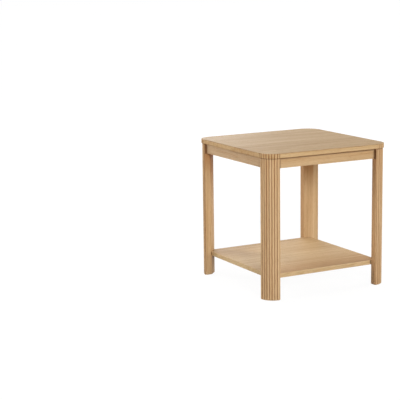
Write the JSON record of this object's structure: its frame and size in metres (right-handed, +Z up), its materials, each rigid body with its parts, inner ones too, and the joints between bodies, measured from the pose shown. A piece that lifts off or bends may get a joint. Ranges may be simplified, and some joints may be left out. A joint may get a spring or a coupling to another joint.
{
  "type": "end table",
  "caption": "Square wooden end table with reeded quarter-round legs, a flat top with rounded reeded corners and a low open shelf.",
  "frame": {"origin": "on the floor under the middle of the top", "axes": "+Z up, +X to the right along the front, the front faces -Y"},
  "size_m": [0.5, 0.5, 0.505],
  "materials": {
    "oak_top": "satin clear lacquer over oak, grain along X",
    "oak_shelf": "satin clear lacquer over oak, grain along X",
    "oak_apron": "satin clear lacquer over oak, grain along the board",
    "oak_leg": "satin clear lacquer over oak, upright grain",
    "block_wood": "bare sawn softwood",
    "dowel_wood": "bare beech",
    "zinc_steel": "bright zinc plate",
    "zinc_cast": "dull cast zinc"
  },
  "bodies": {
    "root": {"tabletop": "oak_top", "shelf": "oak_shelf", "apron_front": "oak_apron", "apron_back": "oak_apron", "apron_left": "oak_apron", "apron_right": "oak_apron", "leg_front_left": "oak_leg", "corner_block_front_left": "block_wood", "leg_front_right": "oak_leg", "corner_block_front_right": "block_wood", "leg_back_right": "oak_leg", "corner_block_back_right": "block_wood", "leg_back_left": "oak_leg", "corner_block_back_left": "block_wood", "apron_dowels": "dowel_wood", "shelf_dowels": "dowel_wood", "hanger_bolts": "zinc_steel", "hanger_washers": "zinc_steel", "hanger_nuts": "zinc_steel", "block_screws": "zinc_steel", "top_screws": "zinc_steel", "shelf_cam_bolts": "zinc_steel", "shelf_cam_locks": "zinc_cast"}
  },
  "joints": []
}
